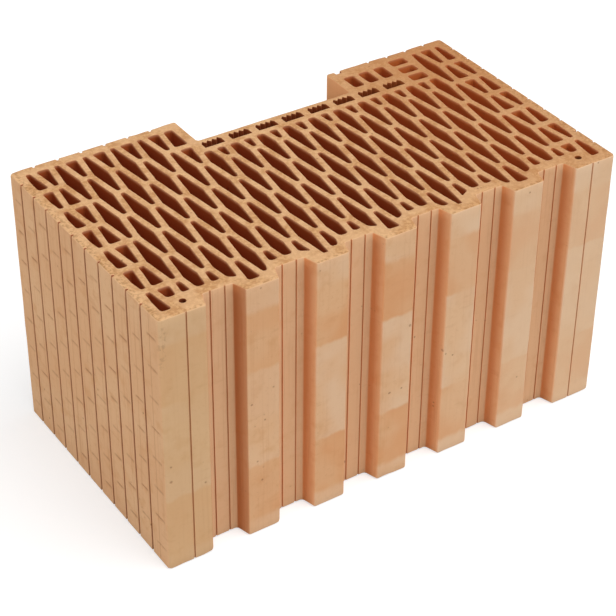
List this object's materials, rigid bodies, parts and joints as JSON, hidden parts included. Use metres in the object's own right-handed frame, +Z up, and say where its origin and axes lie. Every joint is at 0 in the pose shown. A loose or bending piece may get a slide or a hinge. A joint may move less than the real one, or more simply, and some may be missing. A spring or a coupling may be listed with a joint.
{
  "type": "hollow clay block",
  "caption": "Extruded hollow fired-clay wall block with a zigzag lattice of upright cores, a toothed joint face and an insulation pocket in the back face.",
  "frame": {"origin": "centre of the bed face the block stands on", "axes": "+X across the wall, along the longest side; +Y along the wall from the toothed face to the back face with the pocket; +Z up, the way the clay was extruded"},
  "size_m": [0.44, 0.247, 0.249],
  "materials": {
    "fired_clay": "matt, porous, extruded"
  },
  "bodies": {
    "root": {"clay_block": "fired_clay"}
  },
  "joints": []
}
